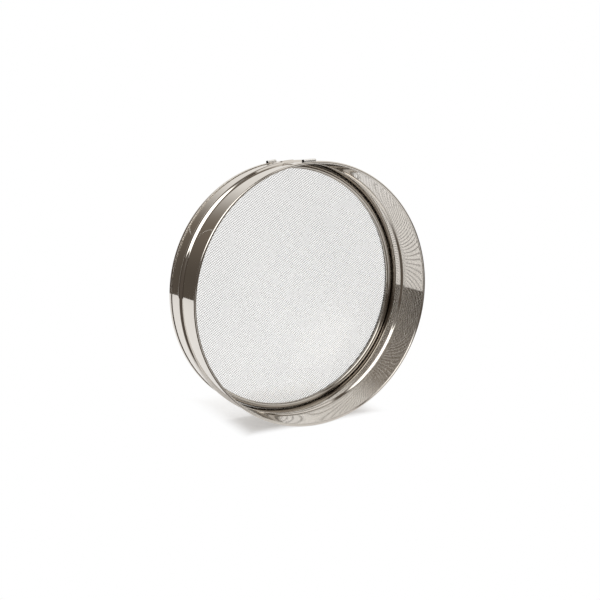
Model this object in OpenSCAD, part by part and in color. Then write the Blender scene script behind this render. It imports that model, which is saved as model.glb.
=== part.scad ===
// Tamis drum sieve, lying on its mesh side.
// A steel hoop with a bead stands in a base ring, on whose lip lies a woven wire mesh.
// A ring of rolled tube presses the mesh down from inside.

/* [Hoop] */
// Outer diameter across the rolled rim
drum_d = 250; // [160:1:400]
// Height from the lower rim to the upper rim
drum_h = 61; // [45:1:120]
// Thickness of the hoop's sheet
wall_t = 0.6; // [0.4:0.05:0.8]
// Diameter of the rolled upper rim
roll_d = 1.9; // [1.8:0.1:4]
// Distance from the upper rim down to the middle of the bead
bead_drop = 35; // [25:0.5:60]
// Width of the bead along the hoop
bead_w = 8.6; // [6:0.2:12]
// How far the bead stands out of the wall
bead_h = 2.1; // [0.6:0.1:3]
// Length of the lap where the two ends of the strip overlap
lap_l = 13; // [6:1:30]

/* [Base ring] */
// Height of the band round the hoop's lower end
base_h = 4.6; // [3:0.1:9]
// Thickness of the base ring's sheet
base_t = 0.6; // [0.4:0.05:1]
// How far the lip reaches inward under the mesh, from the inside of the hoop
lip_w = 6; // [4:0.1:9]

/* [Retaining ring] */
// Diameter of the ring's tube
tube_d = 5.8; // [4:0.1:8]
// Thickness of the tube's sheet
tube_t = 0.8; // [0.5:0.1:1.2]
// Width of the tube's seam, which faces the mesh
seam_w = 0.4; // [0.2:0.05:0.8]

/* [Mesh] */
// Diameter of the mesh wire
wire_d = 0.5; // [0.3:0.05:0.8]
// Number of wires each way
wire_count = 19; // [9:2:21]
// Turn of the wires from the hoop's X axis, in degrees
mesh_turn = 32; // [0:0.1:90]
// Height of the mesh's edge where it is turned up behind the ring
skirt_h = 3.6; // [2.4:0.1:5]
// Thickness of the turned-up edge
skirt_t = 0.5; // [0.3:0.1:0.8]

/* [Clips] */
// Thickness of the clips' sheet
clip_t = 0.35; // [0.3:0.05:0.6]
// Length of the upper rim's clip
upper_clip_l = 13.5; // [8:0.5:24]
// Length of the lower rim's clip
lower_clip_l = 10; // [6:0.5:24]
// Height of the lower rim's clip
lower_clip_h = 3.4; // [3:0.1:4]
// Outer diameter of the rolled eye on the upper clip
eye_d = 2.8; // [2:0.1:4]
// Outer diameter of the rolled eye on the lower clip
small_eye_d = 2.2; // [1.8:0.1:3.5]
// Angle from the hoop's Y axis to the middle of the upper clip, in degrees
upper_clip_turn = 4.4; // [0:0.1:20]
// Angle from the hoop's Y axis to the middle of the lower clip, in degrees
lower_clip_turn = 8.2; // [0:0.1:20]

/* [Hidden] */
// Gap between pieces that are pressed or clipped together
fit_gap = 0.05;
round_fn = 180;
small_fn = 48;
bead_steps = 14;

rim_r = drum_d / 2;
roll_r = roll_d / 2;
roll_mid_r = rim_r - roll_r;
wall_in_r = rim_r - roll_d;
upper_roll_z = drum_h - roll_r;
base_in_r = wall_in_r + wall_t + fit_gap;
base_out_r = base_in_r + base_t;
hoop_z = base_t + fit_gap;
bead_z = drum_h - bead_drop;

skirt_out_r = wall_in_r - fit_gap;
ring_out_r = skirt_out_r - skirt_t - fit_gap;
mesh_lift = base_t + fit_gap;
mesh_mid_z = mesh_lift + wire_d;
mesh_top_z = mesh_mid_z + wire_d + fit_gap / 2;
tube_r = tube_d / 2;
tube_mid_r = ring_out_r - tube_r;
tube_mid_z = mesh_top_z + tube_r;

wire_r = wire_d / 2;
wire_rise = wire_r + fit_gap / 2;
wire_sides = 6;
mesh_r = skirt_out_r - skirt_t - fit_gap;
pitch = 2 * mesh_r / wire_count;

clip_in_r = roll_r + fit_gap;
clip_out_r = clip_in_r + clip_t;
eye_r = eye_d / 2;
small_eye_r = small_eye_d / 2;
lap_middle = 90 + (upper_clip_turn + lower_clip_turn) / 2;

// Degrees that a length takes up on the rim
function rim_angle(length) = length / rim_r * 180 / PI;

// How far the bead stands out at a height: a round crest, with a fillet into the wall on each side
function bead_out(z) = bead_h * (1 + cos(180 * pow(abs(z - bead_z) / (bead_w / 2), 1.6))) / 2;

// Heights across the bead, from its lower edge to its upper edge
bead_zs = [for (i = [0:bead_steps]) bead_z + bead_w * (i / bead_steps - 1 / 2)];

// The strip between two heights, with the bead rolled into it.
// Its two faces are set off from the inside of the hoop.
module strip_profile(low, high, near, far) {
    run = concat([[wall_in_r, low]], [for (z = bead_zs) [wall_in_r + bead_out(z), z]], [[wall_in_r, high]]);
    in_side = [for (p = run) p + [near, 0]];
    out_side = [for (i = [len(run) - 1:-1:0]) run[i] + [far, 0]];
    polygon(concat(in_side, out_side));
}

// The upper rim's roll, open where the sheet's edge ends beside the wall
module roll_profile() {
    difference() {
        translate([roll_mid_r, upper_roll_z]) circle(r = roll_r, $fn = small_fn);
        translate([roll_mid_r, upper_roll_z]) circle(r = roll_r - wall_t, $fn = small_fn);
        translate([wall_in_r + wall_t, upper_roll_z - roll_r]) square([roll_r - wall_t, roll_r]);
    }
}

module hoop() {
    color("silver") {
        rotate_extrude($fn = round_fn) {
            strip_profile(hoop_z, upper_roll_z, 0, wall_t);
            roll_profile();
        }
        rotate([0, 0, lap_middle - rim_angle(lap_l) / 2])
            rotate_extrude(angle = rim_angle(lap_l), $fn = round_fn)
                strip_profile(base_h + fit_gap, upper_roll_z - clip_out_r - fit_gap, wall_t / 2, 2 * wall_t);
    }
}

// An angle ring: a band round the hoop's lower end, bent inward into the lip that carries the mesh
module base_ring() {
    lip_in_r = wall_in_r - lip_w;
    bend = [for (a = [-90:15:0]) [base_in_r + base_t * cos(a), base_t + base_t * sin(a)]];
    band = [[base_out_r, base_h], [base_in_r, base_h], [base_in_r, base_t]];
    color("silver") rotate_extrude($fn = round_fn)
        polygon(concat([[lip_in_r, base_t], [lip_in_r, 0]], bend, band));
}

// A ring of tube that is rolled from strip, pressed into the corner between mesh and hoop
module retaining_ring() {
    color("gainsboro") rotate_extrude($fn = round_fn) difference() {
        translate([tube_mid_r, tube_mid_z]) circle(r = tube_r, $fn = small_fn);
        translate([tube_mid_r, tube_mid_z]) circle(r = tube_r - tube_t, $fn = small_fn);
        translate([tube_mid_r - seam_w / 2, tube_mid_z - tube_d]) square([seam_w, tube_d]);
    }
}

// The mesh's edge, turned up between the ring and the hoop
module mesh_edge() {
    color("lightgray") rotate_extrude($fn = round_fn)
        translate([skirt_out_r - skirt_t, mesh_lift]) square([skirt_t, skirt_h]);
}

// One wire along X at a distance y from the middle, passing over and under the wires that cross it
module wire(row, over) {
    y = (row - (wire_count - 1) / 2) * pitch;
    reach = sqrt(mesh_r * mesh_r - (abs(y) + wire_r) * (abs(y) + wire_r)) - fit_gap;
    half = floor(reach / pitch);
    middle = (wire_count - 1) / 2;
    crossings = [for (i = [-half:half]) [i * pitch, pow(-1, i + middle + row + over) * wire_rise]];
    ends = reach - half * pitch > wire_d ? [[-reach, 0]] : [];
    run = concat(ends, crossings, [for (p = ends) [reach, 0]]);
    rings = len(run);
    spokes = [for (s = [0:wire_sides - 1]) wire_r * [cos(360 * s / wire_sides), sin(360 * s / wire_sides)]];
    points = [for (p = run, spoke = spokes) [p[0], y + spoke[0], mesh_mid_z + p[1] + spoke[1]]];
    sides = [
        for (k = [0:rings - 2], s = [0:wire_sides - 1])
            let (a = k * wire_sides + s, b = k * wire_sides + (s + 1) % wire_sides)
                each [[a, b, b + wire_sides], [a, b + wire_sides, a + wire_sides]]
    ];
    first = [for (s = [1:wire_sides - 2]) [0, s + 1, s]];
    last_ring = (rings - 1) * wire_sides;
    last = [for (s = [1:wire_sides - 2]) [last_ring, last_ring + s, last_ring + s + 1]];
    polyhedron(points, concat(sides, first, last));
}

module warp_wires() {
    color("whitesmoke") rotate([0, 0, mesh_turn])
        for (row = [0:wire_count - 1]) wire(row, 0);
}

module weft_wires() {
    color("whitesmoke") rotate([0, 0, mesh_turn + 90])
        for (row = [0:wire_count - 1]) wire(row, 1);
}

// A springy sleeve round the outer half of the upper rim's roll
module sleeve_profile() {
    difference() {
        translate([roll_mid_r, upper_roll_z]) circle(r = clip_out_r, $fn = small_fn);
        translate([roll_mid_r, upper_roll_z]) circle(r = clip_in_r, $fn = small_fn);
        translate([roll_mid_r - 2 * clip_out_r, upper_roll_z - 2 * clip_out_r])
            square([2 * clip_out_r, 4 * clip_out_r]);
    }
}

// The sleeve on the upper rim, with its free edge rolled into a hollow eye, which stays below the rim's top
module upper_rim_clip() {
    eye_mid_r = roll_mid_r + clip_out_r + eye_r - clip_t;
    eye_z = drum_h - 2 * fit_gap - eye_r;
    angle = rim_angle(upper_clip_l);
    color("silver") rotate([0, 0, 90 + upper_clip_turn - angle / 2])
        rotate_extrude(angle = angle, $fn = round_fn) difference() {
            union() {
                sleeve_profile();
                translate([eye_mid_r, eye_z]) circle(r = eye_r, $fn = small_fn);
            }
            translate([eye_mid_r, eye_z]) circle(r = eye_r - clip_t, $fn = small_fn);
            translate([roll_mid_r, upper_roll_z]) circle(r = clip_in_r, $fn = small_fn);
            translate([0, drum_h - fit_gap]) square([rim_r + 2 * eye_d, roll_d]);
        }
}

// A tab on the base ring's band, with an eye rolled on its outer face
module lower_rim_clip() {
    near_r = base_out_r + fit_gap;
    low = (base_h - lower_clip_h) / 2;
    angle = rim_angle(lower_clip_l);
    color("silver") rotate([0, 0, 90 + lower_clip_turn - angle / 2])
        rotate_extrude(angle = angle, $fn = round_fn) difference() {
            union() {
                translate([near_r, low]) square([clip_t, lower_clip_h]);
                translate([near_r + small_eye_r, base_h / 2]) circle(r = small_eye_r, $fn = small_fn);
            }
            translate([near_r + small_eye_r, base_h / 2]) circle(r = small_eye_r - clip_t, $fn = small_fn);
        }
}

hoop();
base_ring();
retaining_ring();
mesh_edge();
warp_wires();
weft_wires();
upper_rim_clip();
lower_rim_clip();
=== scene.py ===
"""The looks of a steel drum sieve.

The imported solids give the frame. The hoop, its rings, the mesh and the clips are drawn here in full detail, in
millimetres, round the drum's axis, which is Z. The sieve stands on its edge: +Y is up in the picture, and the floor is
the plane that touches the hoop at -Y.
"""

import math

import bpy
import numpy as np
from mathutils import Matrix, Vector


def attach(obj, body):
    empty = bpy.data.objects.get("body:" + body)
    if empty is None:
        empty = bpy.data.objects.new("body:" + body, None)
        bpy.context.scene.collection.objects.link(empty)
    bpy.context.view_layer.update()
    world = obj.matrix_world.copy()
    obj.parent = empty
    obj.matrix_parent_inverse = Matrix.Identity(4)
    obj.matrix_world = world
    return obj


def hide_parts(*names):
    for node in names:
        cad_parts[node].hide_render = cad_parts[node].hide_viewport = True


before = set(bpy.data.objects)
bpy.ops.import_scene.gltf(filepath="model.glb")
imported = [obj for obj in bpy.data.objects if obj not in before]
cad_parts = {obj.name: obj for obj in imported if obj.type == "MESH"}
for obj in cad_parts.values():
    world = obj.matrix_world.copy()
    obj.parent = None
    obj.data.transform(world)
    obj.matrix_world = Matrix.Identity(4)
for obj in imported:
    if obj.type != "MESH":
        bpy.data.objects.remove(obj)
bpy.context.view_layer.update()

MM = 0.001
CLEARANCE = 0.05
STEPS_ROUND = 480

# The hoop: one strip of sheet, with a bead and an upper rim that is rolled outward.
HEIGHT = 61.0
SHEET = 0.6
WALL_IN_R = 123.1
WALL_MID_R = WALL_IN_R + SHEET / 2
WALL_OUT_R = WALL_IN_R + SHEET
HOOP_LOW = 0.65
ROLL_R = 1.25
ROLL_MID = (WALL_IN_R + ROLL_R, HEIGHT - ROLL_R)
RIM_R = WALL_IN_R + 2 * ROLL_R
BEAD_Z, BEAD_WIDTH, BEAD_OUT = 26.0, 8.6, 2.1

# The lap, where the strip's ends are joined: its place in degrees from +X, its length, its heights, and how far in
# its edges are thinned. Each spot weld is a dent with a low ridge round it.
LAP_AT, LAP_LENGTH = 96.3, 13.0
LAP_LOW, LAP_HIGH = 4.65, 58.2
LAP_EDGE = 0.45
WELD_HEIGHTS = (7.5, 14.0, 35.0, 42.0, 49.0, 54.0)
WELD_SIDES = (-2.6, 2.6)
WELD_R, WELD_DEPTH = 1.15, 0.22
RIDGE_R, RIDGE_WIDTH, RIDGE_HEIGHT = 1.6, 0.35, 0.05

# The base ring: a band round the hoop's lower end, bent inward into the lip that carries the mesh.
BASE_SHEET, BASE_HIGH, LIP_WIDTH = 0.6, 4.6, 4.2
BASE_IN_R = WALL_OUT_R + CLEARANCE

# The ring that presses the mesh in: a tube that is rolled from strip.
TUBE_R, TUBE_SHEET, TUBE_SEAM = 2.7, 0.8, 0.4
TUBE_MID = (119.8, 5.4)

# The two clips at the lap: sheet with a hollow eye rolled into its free edge. Each has the eye's middle (r, z) and
# radius, the clip's length, and its turn in degrees from the top of the standing sieve, to the left.
CLIP_SHEET = 0.35
UPPER_CLIP = ((126.45, 59.6), 1.4, 13.5, 4.4)
LOWER_CLIP = ((125.5, 2.3), 1.1, 10.0, 8.2)
TAB_LOW, TAB_HIGH = 0.6, 4.0

# The mesh: plain weave, as many wires each way as the real one has. The weft is packed closer than the warp.
WARP_R, WEFT_R = 0.215, 0.155
WARP_PITCH, WEFT_PITCH = 1.98, 1.74
WIRE_GAP = 0.008
WIRE_SIDES = 6
UNEVEN, DRIFT, DRIFT_LENGTH = 0.004, 0.02, 31.0
SHORTEST_END = 0.3
MESH_Z = 1.15
MESH_R = 122.4
MESH_TURN = 32.0

# Tones of the sheet: painted shade in the clips' eyes, above the tube and on the lip; the cut edge; rubbed marks.
UNLIT = (0.02, 0.018, 0.016)
FOOT_SHADE = (0.32, 0.285, 0.25)
LIP_SHADE = (0.10, 0.092, 0.085)
CUT_EDGE = (0.68, 0.64, 0.59)
RUBBED = (0.93, 0.90, 0.86)

# Two rubbed curves on the outside of the wall: middle (round the hoop from its top, z), radius, lowest, highest, side.
RUBBED_MARKS = [((-146.9, 51.5), 21.8, 31, 56, 1), ((-113.9, 21.5), 20.0, 3, 19, -1)]


# Finishes


class Value:
    """A number that changes over a surface. Its operators add Math nodes."""

    def __init__(self, finish, socket):
        self.finish, self.socket = finish, socket

    def __add__(self, other):
        return self.finish.math("ADD", self, other)

    def __radd__(self, other):
        return self.finish.math("ADD", other, self)

    def __sub__(self, other):
        return self.finish.math("SUBTRACT", self, other)

    def __rsub__(self, other):
        return self.finish.math("SUBTRACT", other, self)

    def __mul__(self, other):
        return self.finish.math("MULTIPLY", self, other)

    def __rmul__(self, other):
        return self.finish.math("MULTIPLY", other, self)

    def __truediv__(self, other):
        return self.finish.math("DIVIDE", self, other)

    def __pow__(self, other):
        return self.finish.math("POWER", self, other)

    def __neg__(self):
        return self * -1.0

    def __abs__(self):
        return self.finish.math("ABSOLUTE", self)

    def most(self, other):
        """The larger of two values."""
        return self.finish.math("MAXIMUM", self, other)

    def ramp(self, start, end, low=0.0, high=1.0):
        """Goes smoothly from low to high while the value goes from start to end."""
        settings = {"interpolation_type": "SMOOTHSTEP"}
        return self.finish.add("ShaderNodeMapRange", settings, self, start, end, low, high)


class Finish:
    """One material's or world's node tree."""

    def __init__(self, owner):
        owner.use_nodes = True
        self.owner, self.tree = owner, owner.node_tree
        self.tree.nodes.clear()

    def add(self, kind, settings=None, *values, out=None, **named):
        """Adds a node: its settings first, then the values or links of its sockets. Gives its first output, or the
        one that is named."""
        node = self.tree.nodes.new(kind)
        for key, value in (settings or {}).items():
            setattr(node, key, value)
        inputs = [s for s in node.inputs if s.enabled]
        pairs = list(zip(inputs, values))
        for key, value in named.items():
            pairs.append((next(s for s in inputs if s.name == key.replace("_", " ")), value))
        for socket, value in pairs:
            if isinstance(value, Value):
                self.tree.links.new(value.socket, socket)
            elif value is not None:
                socket.default_value = value
        outputs = [s for s in node.outputs if s.enabled and out in (None, s.name)]
        return Value(self, outputs[0]) if outputs else None

    def math(self, operation, *numbers):
        return self.add("ShaderNodeMath", {"operation": operation}, *numbers)

    def mix(self, factor, first, second):
        """A colour between two colours."""
        first, second = [c if isinstance(c, Value) else (*c, 1.0) for c in (first, second)]
        return self.add("ShaderNodeMix", {"data_type": "RGBA"}, factor, first, second)

    def mix_shaders(self, factor, first, second):
        return self.add("ShaderNodeMixShader", None, factor, first, second)

    def point(self, x, y, z):
        return self.add("ShaderNodeCombineXYZ", None, x, y, z)

    def noise(self, point, detail=2.0, rough=0.5):
        return self.add("ShaderNodeTexNoise", None, point, Scale=1.0, Detail=detail, Roughness=rough)

    def bump(self, height, depth, under=None):
        """A relief of the given depth in metres, on top of the one under it."""
        return self.add("ShaderNodeBump", None, Strength=1.0, Distance=depth, Height=height, Normal=under)

    def metal(self, colour, roughness, normal):
        """Ends the tree as bare metal, and gives the material."""
        shader = self.add(
            "ShaderNodeBsdfPrincipled", None, Base_Color=colour, Metallic=1.0, Roughness=roughness, Normal=normal
        )
        self.add("ShaderNodeOutputMaterial", None, shader)
        return self.owner

    def rays(self):
        """Whether a surface is seen by the camera, and whether it is seen mirrored."""
        return [self.add("ShaderNodeLightPath", None, out=name) for name in ("Is Camera Ray", "Is Glossy Ray")]


def axes(finish):
    """The place on the drum in metres: x, y, z, and the distance from the drum's axis."""
    place = finish.add("ShaderNodeTexCoord", None, out="Object")
    x, y, z = [finish.add("ShaderNodeSeparateXYZ", None, place, out=axis) for axis in "XYZ"]
    return x, y, z, (x * x + y * y) ** 0.5


def eye_painted_shade(round_it, r, z, clip):
    """Painted shade on a clip: inside its eye, a shadow line under the eye's inner side, and its tip on the left."""
    (eye_r, eye_z), radius, length, turn = clip
    end = -math.radians(turn) * RIM_R - length / 2
    away = ((r - eye_r * MM) ** 2 + (z - eye_z * MM) ** 2) ** 0.5
    inside = away.ramp((radius - 0.12) * MM, (radius - 0.04) * MM, 1.0, 0.0)
    under = away.ramp((radius + 0.1) * MM, (radius + 0.3) * MM, 1.0, 0.0)
    under = under * r.ramp((eye_r - radius * 0.75) * MM, (eye_r - radius * 0.4) * MM, 1.0, 0.0)
    tip = round_it.ramp((end + 0.9) * MM, (end + 1.3) * MM, 1.0, 0.0) * away.ramp(4 * MM, 5 * MM, 1.0, 0.0)
    return inside, under, tip


def rubbed_curve(round_it, z, patches, mark):
    """Where a thin curve is rubbed into the wall. It is one side of a circle, and it fades at its ends."""
    (round_at, z_at), radius, lowest, highest, side = mark
    fade = 3
    away = abs(((round_it - round_at * MM) ** 2 + (z - z_at * MM) ** 2) ** 0.5 - radius * MM)
    rubbed = away.ramp(0.1 * MM, 0.8 * MM, 1.0, 0.0) * z.ramp(lowest * MM, (lowest + fade) * MM)
    rubbed = rubbed * z.ramp((highest - fade) * MM, highest * MM, 1.0, 0.0) * patches.ramp(0.3, 0.5)
    return rubbed * ((round_it - round_at * MM) * side).ramp(0.0, 2 * MM)


def rolled_steel(
    name, tone, dull_tone, rough, grain, waves, clips=(), marks=(), lip_end=None, band_top=None, foot=None
):
    """Polished sheet: fine lines from the rolls along the strip, faint waves, smudges and hairline scratches.

    Grain and waves are depths in metres. Painted shade darkens the inside of the clips' eyes, a line under each eye
    and each clip's left tip, and the wall has rubbed marks. The sheet is rougher and darkened with painted shade
    nearer to the axis than lip_end, dull above band_top, and darkened with painted shade inside below the foot.
    """
    finish = Finish(bpy.data.materials.new(name))
    x, y, z, r = axes(finish)
    round_it = finish.math("ARCTAN2", x, y) * (RIM_R * MM)
    across = z + r
    lines = finish.noise(finish.point(x * 25, y * 25, across * 5200), detail=3.0, rough=0.65)
    bands = finish.noise(finish.point(x * 9, y * 9, across * 700), detail=2.0)
    smudges = finish.noise(finish.point(x * 38, y * 38, z * 45), detail=4.0, rough=0.6)
    wave = finish.noise(finish.point(x * 16, y * 16, z * 30), detail=1.0)
    skew = finish.noise(finish.point(x * 60 + z * 210, y * 60 - z * 150, across * 620), detail=1.5)
    patches = finish.noise(finish.point(x * 30, y * 30, z * 60), detail=1.0)
    scratch = (1 - abs(skew - 0.5).ramp(0.0, 0.006)) * patches.ramp(0.56, 0.66)
    colour = finish.mix(smudges.ramp(0.45, 0.85, 0.0, 0.5), tone, dull_tone)
    colour = finish.mix(lines.ramp(0.35, 0.7, 0.0, 0.10), colour, dull_tone)
    roughness = rough + smudges.ramp(0.4, 0.8) * 0.02 + lines * 0.02 + scratch * 0.12
    # Painted shade: the inside of each clip's eye, a shadow line under it and its tip are darkened towards black.
    for clip in clips:
        for dark in eye_painted_shade(round_it, r, z, clip):
            colour = finish.mix(dark, colour, UNLIT)
    # Painted shade: the wall's inside is darkened below the foot height, in the corner above the tube.
    if foot:
        foot_shade = z.ramp(foot * MM, (foot + 6) * MM, 0.55, 0.0)
        foot_shade = foot_shade * r.ramp((WALL_IN_R + 0.2) * MM, WALL_MID_R * MM, 1.0, 0.0)
        colour = finish.mix(foot_shade, colour, FOOT_SHADE)
    # Painted shade: the lip under the mesh, near the axis, is darkened where the tube shades it; it is also made
    # rougher.
    if lip_end:
        inner = r.ramp(lip_end * MM, (lip_end + 0.3) * MM, 1.0, 0.0)
        colour = finish.mix(inner, colour, LIP_SHADE)
        roughness = roughness + inner * 0.2
    if band_top:
        edge = z.ramp((band_top - 0.2) * MM, band_top * MM)
        colour = finish.mix(edge, colour, CUT_EDGE)
        roughness = roughness + edge * 0.35
    for mark in marks:
        rubbed = rubbed_curve(round_it, z, patches, mark)
        colour = finish.mix(rubbed, colour, RUBBED)
        roughness = roughness + rubbed * 0.5
    normal = finish.bump(wave, waves)
    normal = finish.bump(bands, grain * 3, normal)
    normal = finish.bump(lines - scratch * 1.5, grain, normal)
    return finish.metal(colour, roughness, normal)


def drawn_wire(name, tone, dull_tone):
    """Bright drawn wire: each wire a little different, with die lines along it."""
    finish = Finish(bpy.data.materials.new(name))
    x, y, z, _ = axes(finish)
    turn = math.radians(MESH_TURN)
    along = x * math.cos(turn) + y * math.sin(turn)
    over = y * math.cos(turn) - x * math.sin(turn)
    each = finish.noise(finish.point(along * 512, over * 512, 0.0), detail=0.0)
    grime = finish.noise(finish.point(x * 70, y * 70, z * 70), detail=3.0, rough=0.6)
    fine = finish.noise(finish.point(x * 4000, y * 4000, z * 9000), detail=2.0)
    colour = finish.mix(each.ramp(0.3, 0.7, 0.0, 0.6), tone, dull_tone)
    colour = finish.mix(grime.ramp(0.5, 0.8, 0.0, 0.4), colour, dull_tone)
    roughness = 0.2 + grime.ramp(0.3, 0.8) * 0.08 + fine * 0.06
    return finish.metal(colour, roughness, finish.bump(fine, depth=0.000004))


# Tone, dull tone, roughness, depth of the grain and of the waves.
STRIP_STEEL = ((0.70, 0.665, 0.62), (0.64, 0.60, 0.55), 0.03, 0.0000003, 0.00003)
hoop_steel = rolled_steel("hoop_steel", *STRIP_STEEL, marks=RUBBED_MARKS, foot=8.5)
base_steel = rolled_steel("base_steel", *STRIP_STEEL, lip_end=WALL_IN_R - 0.5, band_top=BASE_HIGH - 0.4)
# The tube's steel is toned darker than the strip's: painted shade that darkens the band round the tube.
ring_steel = rolled_steel("ring_steel", (0.50, 0.47, 0.43), (0.42, 0.39, 0.355), 0.06, 0.0000005, 0.00002)
# The clips' steel is toned lighter than the strip's: a painted sheen that makes the clips look white.
clip_steel = rolled_steel(
    "clip_steel", (0.90, 0.89, 0.87), (0.82, 0.80, 0.78), 0.22, 0.000003, 0.00003, clips=[UPPER_CLIP, LOWER_CLIP]
)
warp_wire = drawn_wire("warp_wire", (0.70, 0.70, 0.69), (0.62, 0.62, 0.61))
weft_wire = drawn_wire("weft_wire", (0.88, 0.88, 0.87), (0.82, 0.82, 0.81))


# Making the pieces


def put(name, data):
    """An object in the scene."""
    ob = bpy.data.objects.new(name, data)
    bpy.context.scene.collection.objects.link(ob)
    return ob


def make_piece(name, points, faces, material, slot, node, sharp=35):
    """A mesh from points in millimetres. Edges sharper than the angle stay crisp."""
    mesh = bpy.data.meshes.new(name)
    mesh.from_pydata((points * MM).tolist(), [], faces)
    mesh.validate()
    mesh.shade_smooth()
    mesh.set_sharp_from_angle(angle=math.radians(sharp))
    mesh.materials.append(material)
    piece = put(name, mesh)
    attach(piece, "root")
    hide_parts(node)


def arc(middle, radius, start, end, steps):
    """Points (r, z) on an arc between two angles in degrees."""
    turns = np.radians(np.linspace(start, end, steps))
    return np.stack([middle[0] + radius * np.cos(turns), middle[1] + radius * np.sin(turns)], 1)


def sheet_section(path, thick):
    """The closed outline of a sheet that follows a path (r, z), with its two edges rounded."""
    edge_steps = 7
    ahead = np.gradient(path, axis=0)
    ahead /= np.linalg.norm(ahead, axis=1)[:, None]
    side = np.stack([-ahead[:, 1], ahead[:, 0]], 1) * thick / 2
    ends = []
    for point, way in ((path[-1], ahead[-1]), (path[0], -ahead[0])):
        start = math.degrees(math.atan2(way[1], way[0])) + 90
        ends.append(arc(point, thick / 2, start, start - 180, edge_steps)[1:-1])
    return np.concatenate([path + side, ends[0], (path - side)[::-1], ends[1]])


def spin(section, steps, start=0.0, length=360.0):
    """Turns a closed section (r, z) round the drum's axis, all round or through part of it with closed ends."""
    whole = length >= 360
    turns = np.radians(start + np.linspace(0, length, steps, endpoint=not whole))
    r, z = section[:, 0], section[:, 1]
    points = [np.outer(np.cos(turns), r), np.outer(np.sin(turns), r), np.tile(z, (steps, 1))]
    count = len(section)
    a = np.arange(steps if whole else steps - 1)[:, None] * count
    b = (a + count) % (steps * count)
    i, j = np.arange(count)[None, :], (np.arange(count) + 1)[None, :] % count
    faces = np.stack([a + i, b + i, b + j, a + j], 2).reshape(-1, 4).tolist()
    if not whole:
        faces.append(list(range(count)))
        faces.append(list(range(steps * count - 1, (steps - 1) * count - 1, -1)))
    return np.stack(points, 2).reshape(-1, 3), faces


def bead_out(z):
    """How far the bead stands out of the wall at a height."""
    t = np.clip(abs(z - BEAD_Z) / (BEAD_WIDTH / 2), 0, 1)
    return BEAD_OUT * (1 + np.cos(np.pi * t**1.6)) / 2


def hoop_section():
    """The strip from its lower edge, up the wall with its bead, into the upper rim's roll."""
    roll = arc(ROLL_MID, ROLL_R - SHEET / 2, 180, -100, 40)
    z = np.concatenate(
        [
            np.linspace(HOOP_LOW + SHEET / 2, BEAD_Z - BEAD_WIDTH / 2, 12),
            np.linspace(BEAD_Z - BEAD_WIDTH / 2, BEAD_Z + BEAD_WIDTH / 2, 41)[1:],
            np.linspace(BEAD_Z + BEAD_WIDTH / 2, ROLL_MID[1], 16)[1:-1],
        ]
    )
    wall = np.stack([WALL_MID_R + bead_out(z), z], 1)
    return sheet_section(np.concatenate([wall, roll]), SHEET)


def base_section():
    """The base ring's sheet: the lip, the bend and the band."""
    half = BASE_SHEET / 2
    lip = np.stack([np.linspace(WALL_IN_R - LIP_WIDTH + half, BASE_IN_R, 8), np.full(8, half)], 1)
    bend = arc((BASE_IN_R, BASE_SHEET), half, -90, 0, 9)
    band = np.stack([np.full(8, BASE_IN_R + half), np.linspace(BASE_SHEET, BASE_HIGH - half, 8)], 1)
    return sheet_section(np.concatenate([lip, bend[1:], band[1:]]), BASE_SHEET)


def ring_section():
    """The tube's sheet, rolled nearly full round, with its seam turned down towards the mesh."""
    curl = TUBE_R - TUBE_SHEET / 2
    half_seam = math.degrees(TUBE_SEAM / 2 / curl) + math.degrees(TUBE_SHEET / 2 / curl)
    return sheet_section(arc(TUBE_MID, curl, -90 + half_seam, 270 - half_seam, 72), TUBE_SHEET)


make_piece("hoop_sheet", *spin(hoop_section(), STEPS_ROUND), hoop_steel, "hoop_steel", "hoop")
make_piece("base_ring_sheet", *spin(base_section(), STEPS_ROUND), base_steel, "hoop_steel", "base_ring")
make_piece("ring_sheet", *spin(ring_section(), STEPS_ROUND), ring_steel, "ring_steel", "retaining_ring")


def lap_strip():
    """The end of the strip, laid over the wall at the lap, with thinned edges and a row of spot welds."""
    rows = np.linspace(LAP_LOW, LAP_HIGH, 216)
    arcs = np.linspace(-LAP_LENGTH / 2, LAP_LENGTH / 2, 53)
    across, z = np.meshgrid(arcs, rows, indexing="ij")
    edge = np.minimum(LAP_LENGTH / 2 - abs(across), np.minimum(z - LAP_LOW, LAP_HIGH - z))
    lift = SHEET * np.sqrt(1 - (1 - np.clip(edge / LAP_EDGE, 0.02, 1)) ** 2)
    for weld in WELD_HEIGHTS:
        for side in WELD_SIDES:
            away = np.hypot(across - side, z - weld)
            dent = WELD_DEPTH * np.exp(-((away / WELD_R) ** 4))
            ridge = RIDGE_HEIGHT * np.exp(-(((away - RIDGE_R) / RIDGE_WIDTH) ** 2))
            lift -= dent - ridge
    wall, sunk = WALL_OUT_R + bead_out(z), 0.05
    turn = math.radians(LAP_AT) + across / RIM_R
    sides = [np.stack([r * np.cos(turn), r * np.sin(turn), z], 2).reshape(-1, 3) for r in (wall + lift, wall - sunk)]
    m, n = across.shape
    grid = np.arange(m * n).reshape(m, n)
    quad = np.stack([grid[:-1, :-1], grid[1:, :-1], grid[1:, 1:], grid[:-1, 1:]], 2).reshape(-1, 4)
    faces = np.concatenate([quad, quad[:, ::-1] + m * n]).tolist()
    rim = np.concatenate([grid[:, 0], grid[-1, 1:], grid[-2::-1, -1], grid[0, -2:0:-1]])
    around = np.roll(rim, -1)
    faces += np.stack([around, rim, rim + m * n, around + m * n], 1).tolist()
    return np.concatenate(sides), faces


make_piece("hoop_lap", *lap_strip(), hoop_steel, "hoop_steel", "hoop", sharp=60)


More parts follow.
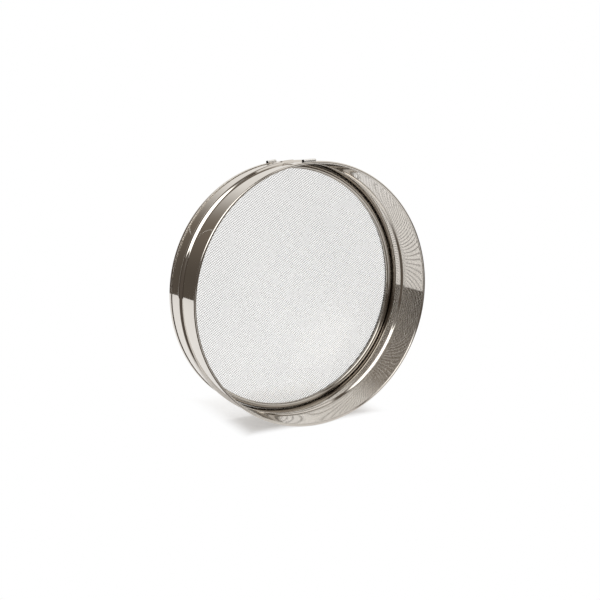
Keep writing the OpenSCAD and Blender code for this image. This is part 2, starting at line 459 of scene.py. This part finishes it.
def woven_wires(first, turn, wire_r, other_r, apart, crossed, seed):
    """Every wire of one direction, each passing over and under the wires that cross it. First, 0 or 1, says whether
    the middle wire goes over or under at the middle of the mesh."""
    chance = np.random.default_rng(seed)
    half = int(MESH_R / apart)
    sides = WIRE_SIDES
    spokes = np.radians(np.arange(sides) * 360 / sides + 30)
    points, faces, used = [], [], 0
    for row in range(-half, half + 1):
        y = row * apart + chance.normal(0, UNEVEN)
        reach = math.sqrt(max(MESH_R**2 - (abs(y) + wire_r) ** 2, 0))
        last = int(reach / crossed)
        if last < 2:
            continue
        steps = np.arange(-last, last + 1)
        x = steps * crossed
        lift = np.where((steps + row + first) % 2 == 0, 1, -1) * (wire_r + other_r + WIRE_GAP) / 2
        if reach - last * crossed > SHORTEST_END:
            x = np.concatenate([[-reach], x, [reach]])
            lift = np.concatenate([[0], lift, [0]])
        drift = DRIFT * np.sin(x / DRIFT_LENGTH + chance.uniform(0, 6.28)) * np.cos(x / MESH_R * 1.5)
        ring_x = np.repeat(x[:, None], sides, 1)
        ring_y = (y + drift)[:, None] + wire_r * np.cos(spokes)
        ring_z = (MESH_Z + lift)[:, None] + wire_r * np.sin(spokes)
        points.append(np.stack([ring_x, ring_y, ring_z], 2).reshape(-1, 3))
        count = len(x)
        a = used + np.arange(count - 1)[:, None] * sides
        i, j = np.arange(sides)[None, :], (np.arange(sides) + 1)[None, :] % sides
        faces += np.stack([a + i, a + j, a + j + sides, a + i + sides], 2).reshape(-1, 4).tolist()
        faces.append(list(range(used + sides - 1, used - 1, -1)))
        faces.append(list(range(used + (count - 1) * sides, used + count * sides)))
        used += count * sides
    points = np.concatenate(points)
    c, s = math.cos(math.radians(turn)), math.sin(math.radians(turn))
    points[:, :2] = points[:, :2] @ np.array([[c, s], [-s, c]])
    return points, faces


warp = woven_wires(0, MESH_TURN, WARP_R, WEFT_R, WARP_PITCH, WEFT_PITCH, seed=7)
weft = woven_wires(1, MESH_TURN + 90, WEFT_R, WARP_R, WEFT_PITCH, WARP_PITCH, seed=8)
make_piece("warp_weave", *warp, warp_wire, "mesh_wire", "warp_wires", sharp=80)
make_piece("weft_weave", *weft, weft_wire, "mesh_wire", "weft_wires", sharp=80)

edge_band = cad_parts["mesh_edge"].data
edge_band.materials.clear()
edge_band.materials.append(weft_wire)


def clip_pieces(node, sheet_path, clip):
    """A clip's sheet, and the hollow eye that its free edge is rolled into."""
    eye, eye_r, length, turn = clip
    span = math.degrees(length / RIM_R)
    eye_path = arc(eye, eye_r - CLIP_SHEET / 2, 196, 528, 48)
    for part, path in (("sheet", sheet_path), ("eye", eye_path)):
        shape = spin(sheet_section(path, CLIP_SHEET), 25, 90 + turn - span / 2, span)
        make_piece(f"{node}_{part}", *shape, clip_steel, "clip_steel", node)


upper_sleeve = arc(ROLL_MID, ROLL_R + CLEARANCE + CLIP_SHEET / 2, -88, 34, 24)
clip_pieces("upper_rim_clip", upper_sleeve, UPPER_CLIP)
tab_r = BASE_IN_R + BASE_SHEET + CLEARANCE + CLIP_SHEET / 2
lower_tab = np.stack([np.full(8, tab_r), np.linspace(TAB_LOW + CLIP_SHEET / 2, TAB_HIGH - CLIP_SHEET / 2, 8)], 1)
clip_pieces("lower_rim_clip", lower_tab, LOWER_CLIP)


# Stage, light and camera

# The picture's level directions: ahead is away from the camera, right is to its right.
AHEAD = (0.4985, 0.0, -0.8669)
RIGHT = (0.8669, 0.0, 0.4985)


def toward(azimuth, elevation):
    """A direction in the picture's own azimuth (0 is ahead, 90 to the right) and elevation, in degrees."""
    a, e = math.radians(azimuth), math.radians(elevation)
    flat = [math.cos(a) * f + math.sin(a) * s for f, s in zip(AHEAD, RIGHT)]
    return (flat[0] * math.cos(e), math.sin(e), flat[2] * math.cos(e))


# The table as the steel mirrors it ends this many metres from the sieve, to its left.
TABLE_WAY = toward(-66, 0)
TABLE_EDGE = 0.93

# The light that the table gives off by itself, and the level of the light from all round.
TABLE_GLOW, ROUND_LIGHT = 0.28, 0.62

# What the steel mirrors: white ahead, brown dark to the left and behind, a patch of grey, and one large lamp.
WHITE = (0.93, 0.91, 0.88)
DARK_FAR_LEFT, DARK_LEFT, DARK_BEHIND = (0.095, 0.077, 0.064), (0.21, 0.178, 0.146), (0.115, 0.097, 0.082)
GREY = (0.30, 0.285, 0.265)
LAMP = (2.4, 2.37, 2.31)
LAMP_AZIMUTH, LAMP_ELEVATION = -147, 46


def make_floor():
    """A white table under the standing sieve. It keeps the sieve's shadow near the foot and is plain white beyond.
    The steel mirrors only the part of it that lies near the foot and ahead."""
    y, half = -(WALL_OUT_R + BEAD_OUT) * MM, 6
    mesh = bpy.data.meshes.new("floor")
    mesh.from_pydata([(-half, y, -half), (-half, y, half), (half, y, half), (half, y, -half)], [], [(0, 1, 2, 3)])
    finish = Finish(bpy.data.materials.new("white_table"))
    x, _, z, _ = axes(finish)
    # Outside this patch round the foot, in metres, the camera sees plain white.
    left, right = (-x).ramp(0.056, 0.080), x.ramp(0.050, 0.090)
    front, back = z.ramp(0.040, 0.060), (-z).ramp(0.050, 0.090)
    far = left.most(right).most(front.most(back))
    speck = finish.noise(finish.point(x * 40, z * 40, 0.0))
    paint = finish.mix(speck, (0.80, 0.79, 0.78), (0.82, 0.81, 0.80))
    matt = finish.add("ShaderNodeBsdfDiffuse", None, paint)
    glow = finish.add("ShaderNodeEmission", None, (1.0, 1.0, 1.0, 1.0), TABLE_GLOW)
    white = finish.add("ShaderNodeEmission", None, (1.0, 1.0, 1.0, 1.0), 1.0)
    clear = finish.add("ShaderNodeBsdfTransparent", None)
    lit = finish.add("ShaderNodeAddShader", None, matt, glow)
    in_view = finish.mix_shaders(far, lit, white)
    # Mirrored, the table is clear beyond its edge, on the camera's side of the sieve, and far to the right.
    ahead = x * AHEAD[0] + z * AHEAD[2]
    to_right = x * RIGHT[0] + z * RIGHT[2]
    beyond = (x * TABLE_WAY[0] + z * TABLE_WAY[2]).ramp(TABLE_EDGE, TABLE_EDGE + 0.01)
    behind = ahead.ramp(-0.14, -0.09, 1.0, 0.0) * to_right.ramp(0.0, 0.10, 1.0, 0.15) + to_right.ramp(0.30, 0.38)
    mirrored = finish.mix_shaders(beyond.most(behind), lit, clear)
    camera, glossy = finish.rays()
    shown = finish.mix_shaders(camera, matt, in_view)
    shown = finish.mix_shaders(glossy, shown, mirrored)
    underside = finish.add("ShaderNodeNewGeometry", None, out="Backfacing")
    finish.add("ShaderNodeOutputMaterial", None, finish.mix_shaders(underside, shown, clear))
    mesh.materials.append(finish.owner)
    put("floor", mesh)


def make_world():
    """White to the camera and pale grey as a light, with the colours above only where the steel mirrors it."""
    world = bpy.data.worlds.new("studio")
    bpy.context.scene.world = world
    finish = Finish(world)
    way = finish.add("ShaderNodeTexCoord", None, out="Generated")

    def along(direction):
        return finish.add("ShaderNodeVectorMath", {"operation": "DOT_PRODUCT"}, way, direction)

    azimuth = finish.math("ARCTAN2", along(RIGHT), along(AHEAD)) * (180 / math.pi)
    elevation = finish.math("ARCSINE", along((0, 1, 0))) * (180 / math.pi)
    # White ahead and to the right, but neither low on the right nor high up on the left.
    white = azimuth.ramp(-46, -19) * (1 - azimuth.ramp(128, 150))
    white = white * (1 - azimuth.ramp(0, 20) * elevation.ramp(4, 12, 1.0, 0.0))
    white = white * (1 - azimuth.ramp(0, 25, 1.0, 0.0) * elevation.ramp(46, 60))
    dark = finish.mix(azimuth.ramp(-84, -44), DARK_FAR_LEFT, DARK_LEFT)
    dark = finish.mix(elevation.ramp(0, 24, 0.55, 1.0), (0.0, 0.0, 0.0), dark)
    mirrored = finish.mix(white, dark, WHITE)
    behind = azimuth.ramp(-100, -78, 1.0, 0.0) + azimuth.ramp(128, 150)
    mirrored = finish.mix(behind, mirrored, DARK_BEHIND)
    grey = azimuth.ramp(-150, -135, 1.0, 0.0) * elevation.ramp(5, 15)
    mirrored = finish.mix(grey, mirrored, GREY)
    # The lamp is a soft-edged rectangle on a plane that faces the sieve.
    depth = along(toward(LAMP_AZIMUTH, LAMP_ELEVATION))
    across = abs(along(toward(LAMP_AZIMUTH - 90, 0)) / depth)
    upward = along(toward(LAMP_AZIMUTH, LAMP_ELEVATION + 90)) / depth
    lamp = depth.ramp(0.0, 0.05) * across.ramp(0.70, 0.82, 1.0, 0.0)
    lamp = lamp * upward.ramp(-0.46, -0.40) * upward.ramp(0.35, 0.55, 1.0, 0.0)
    mirrored = finish.mix(lamp, mirrored, LAMP)
    camera, glossy = finish.rays()
    colour = finish.mix(glossy, (ROUND_LIGHT,) * 3, mirrored)
    colour = finish.mix(camera, colour, (1.0, 1.0, 1.0))
    finish.add("ShaderNodeOutputWorld", None, finish.add("ShaderNodeBackground", None, colour, 1.0))


def make_softbox():
    """A square lamp above the sieve, which faces its middle. The steel doesn't mirror it."""
    lamp = bpy.data.lights.new("top_softbox", "AREA")
    lamp.shape, lamp.size, lamp.energy = "SQUARE", 1.5, 13.0
    place, distance = toward(78, 76), 1.6
    ob = put("top_softbox", lamp)
    ob.location = [distance * c for c in place]
    ob.rotation_mode = "QUATERNION"
    ob.rotation_quaternion = (-Vector(place)).to_track_quat("-Z", "Y")
    ob.visible_camera, ob.visible_glossy = False, False


def make_camera():
    """The camera as the photograph's rims, bead and ring lines place it."""
    camera = bpy.data.cameras.new("camera")
    camera.sensor_width, camera.lens = 36.0, 52.66
    camera.clip_start, camera.clip_end = 0.01, 50.0
    ob = put("camera", camera)
    right, up, back = (0.86689, 0.0, 0.49849), (0.09194, 0.98285, -0.15988), (-0.48994, 0.18443, 0.85202)
    turn = Matrix((right, up, back)).transposed().to_4x4()
    ob.matrix_world = Matrix.Translation((-0.41755, 0.14839, 0.75254)) @ turn
    bpy.context.scene.camera = ob


make_floor()
make_world()
make_softbox()
make_camera()
bpy.context.scene.view_settings.view_transform = "Standard"
